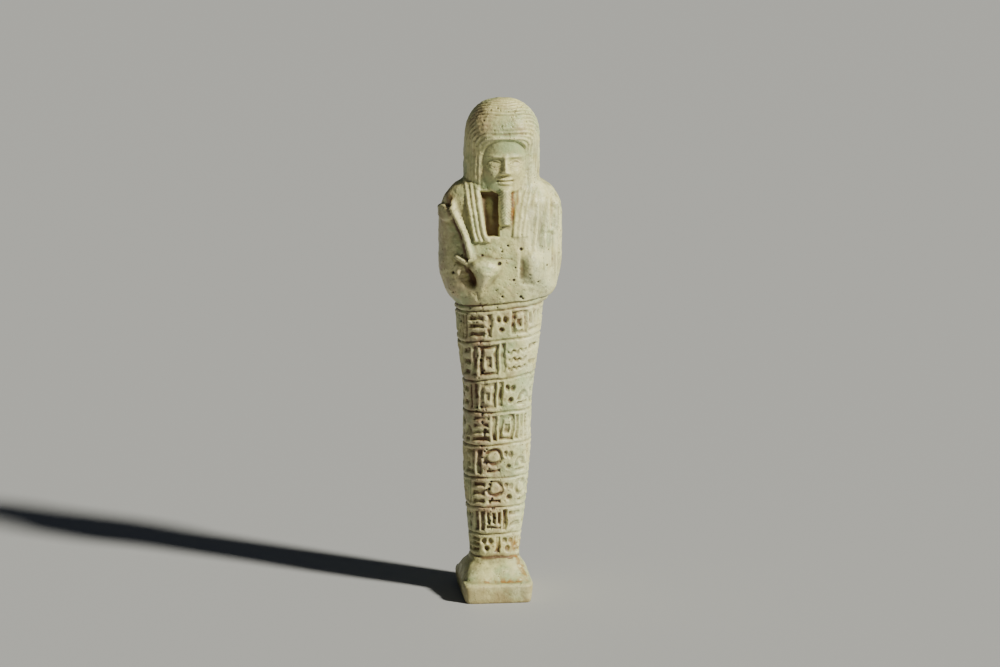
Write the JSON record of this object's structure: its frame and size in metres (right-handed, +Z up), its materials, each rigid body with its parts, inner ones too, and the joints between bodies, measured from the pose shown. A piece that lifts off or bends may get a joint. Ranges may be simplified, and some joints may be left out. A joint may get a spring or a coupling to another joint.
{
  "type": "ushabti figurine",
  "caption": "Standing mummiform funerary figurine in pale glazed faience, with a striated wig, long false beard, hoe and pick, banded body, foot slab and back pillar.",
  "frame": {"origin": "middle of the foot slab's width on its flat underside, below the figure's axis", "axes": "+Z up, the face looks along -Y, +X towards the figure's left hand"},
  "size_m": [0.034, 0.0266, 0.1388],
  "materials": {
    "faience": "satin pale green-cream glaze with brown staining in the grooves and small dark pores"
  },
  "bodies": {
    "root": {"ushabti_figurine": "faience"}
  },
  "joints": []
}
